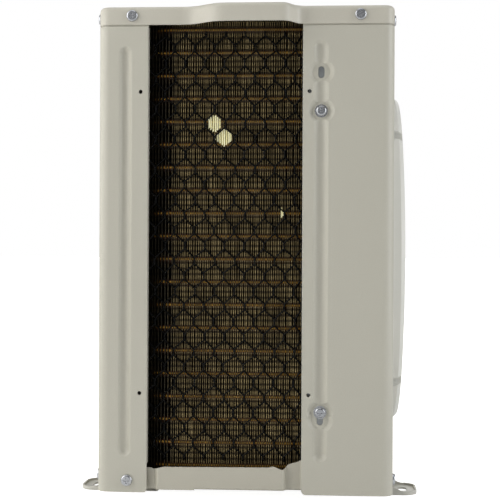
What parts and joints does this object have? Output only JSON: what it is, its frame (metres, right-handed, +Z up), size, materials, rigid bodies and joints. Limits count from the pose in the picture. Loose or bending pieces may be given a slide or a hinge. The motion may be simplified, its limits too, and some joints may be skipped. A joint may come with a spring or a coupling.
{
  "type": "pool heat pump",
  "caption": "Air-source pool heat pump cabinet with an L-shaped finned coil behind hexagonal netting, a domed fan grille, foot rails, water unions and a keypad under a flap.",
  "frame": {"origin": "centre of the four foot bolt slots, in the plane the foot rails stand on", "axes": "+X towards the end with the water unions, -Y out of the fan grille, +Z up"},
  "size_m": [0.867, 0.3836, 0.54],
  "materials": {
    "panel_paint": "satin powder coat",
    "base_paint": "satin powder coat",
    "foot_steel": "satin powder coat",
    "grille_plastic": "fine texture",
    "duct_plastic": "moulded",
    "fan_plastic": "moulded, glass filled",
    "shaft_steel": "ground",
    "motor_case": "black enamel",
    "galvanised": "galvanised",
    "fin_aluminium": "mill, hydrophilic coated",
    "copper": "drawn copper",
    "net_plastic": "black coated wire",
    "screw_steel": "zinc plated, painted head",
    "compressor_paint": "black enamel",
    "grommet_rubber": "moulded",
    "valve_brass": "machined",
    "exchanger_plastic": "moulded PVC",
    "titanium": "drawn titanium",
    "union_plastic": "moulded PVC",
    "tail_plastic": "moulded PVC",
    "switch_plastic": "moulded",
    "gauge_steel": "polished",
    "dial_white": "printed",
    "needle_black": "painted",
    "lens_clear": "clear",
    "gland_plastic": "nylon",
    "board_green": "varnished",
    "control_plastic": "fine texture",
    "display_black": "smoked window",
    "key_plastic": "soft touch",
    "flap_clear": "smoked clear"
  },
  "bodies": {
    "cabinet": {"accumulator": "compressor_paint", "base_pan": "base_paint", "cabinet_screws": "screw_steel", "cable_gland": "gland_plastic", "circuit_board": "board_green", "coil_guard_net": "net_plastic", "coil_screws": "screw_steel", "compressor_grommets": "grommet_rubber", "compressor_shell": "compressor_paint", "control_bezel": "control_plastic", "control_display": "display_black", "discharge_pipe": "copper", "drain_spigot": "gland_plastic", "electrical_box": "galvanised", "evaporator_fin_pack": "fin_aluminium", "evaporator_outlet_pipe": "copper", "expansion_valve": "valve_brass", "fan_grille": "grille_plastic", "fan_motor": "motor_case", "fan_orifice_ring": "duct_plastic", "flow_switch_body": "switch_plastic", "foot_rail_left": "foot_steel", "foot_rail_right": "foot_steel", "four_way_valve": "valve_brass", "front_fan_panel": "panel_paint", "front_service_panel": "panel_paint", "gas_pipe": "copper", "gauge_case": "gauge_steel", "gauge_dial": "dial_white", "gauge_lens": "lens_clear", "heat_exchanger_shell": "exchanger_plastic", "inlet_tailpiece": "tail_plastic", "inlet_union_body": "union_plastic", "liquid_pipe": "copper", "motor_bracket": "galvanised", "outlet_tailpiece": "tail_plastic", "outlet_union_body": "union_plastic", "partition_plate": "galvanised", "rear_left_post": "panel_paint", "rear_service_panel": "panel_paint", "return_bends_front": "copper", "return_bends_right": "copper", "right_side_panel": "panel_paint", "suction_pipe": "copper", "titanium_coil": "titanium", "top_lid": "panel_paint", "tube_sheet_front": "galvanised", "tube_sheet_right": "galvanised"},
    "fan": {"fan_rotor": "fan_plastic", "fan_shaft": "shaft_steel"},
    "flap": {"control_flap": "flap_clear"},
    "needle": {"gauge_needle": "needle_black"},
    "inlet_nut": {"inlet_union_nut": "union_plastic"},
    "outlet_nut": {"outlet_union_nut": "union_plastic"},
    "paddle": {"flow_paddle": "switch_plastic"},
    "key_power": {"button_power": "key_plastic"},
    "key_mode": {"button_mode": "key_plastic"},
    "key_timer": {"button_timer": "key_plastic"},
    "key_up": {"button_up": "key_plastic"},
    "key_down": {"button_down": "key_plastic"}
  },
  "joints": [
    {"name": "fan_spin", "type": "hinge", "parent": "cabinet", "child": "fan", "pos_m": [-0.095, -0.118, 0.266], "axis": [0, 1, 0], "continuous": true},
    {"name": "flap_hinge", "type": "hinge", "parent": "cabinet", "child": "flap", "pos_m": [0.272, -0.1654, 0.435], "axis": [-1, 0, 0], "range_deg": [0, 110]},
    {"name": "gauge_needle_turn", "type": "hinge", "parent": "cabinet", "child": "needle", "pos_m": [0.392, -0.038, 0.452], "axis": [-1, 0, 0], "range_deg": [0, 270]},
    {"name": "inlet_nut_turn", "type": "hinge", "parent": "cabinet", "child": "inlet_nut", "pos_m": [0.411, 0.072, 0.095], "axis": [1, 0, 0], "continuous": true},
    {"name": "outlet_nut_turn", "type": "hinge", "parent": "cabinet", "child": "outlet_nut", "pos_m": [0.411, 0.072, 0.372], "axis": [1, 0, 0], "continuous": true},
    {"name": "flow_paddle_swing", "type": "hinge", "parent": "cabinet", "child": "paddle", "pos_m": [0.38, 0.072, 0.127], "axis": [0, 1, 0], "range_deg": [0, 20]},
    {"name": "press_power", "type": "slide", "parent": "cabinet", "child": "key_power", "axis": [0, 1, 0], "range_m": [0, 0.0012], "stiffness_N_per_m": 400},
    {"name": "press_mode", "type": "slide", "parent": "cabinet", "child": "key_mode", "axis": [0, 1, 0], "range_m": [0, 0.0012], "stiffness_N_per_m": 400},
    {"name": "press_timer", "type": "slide", "parent": "cabinet", "child": "key_timer", "axis": [0, 1, 0], "range_m": [0, 0.0012], "stiffness_N_per_m": 400},
    {"name": "press_up", "type": "slide", "parent": "cabinet", "child": "key_up", "axis": [0, 1, 0], "range_m": [0, 0.0012], "stiffness_N_per_m": 400},
    {"name": "press_down", "type": "slide", "parent": "cabinet", "child": "key_down", "axis": [0, 1, 0], "range_m": [0, 0.0012], "stiffness_N_per_m": 400}
  ]
}
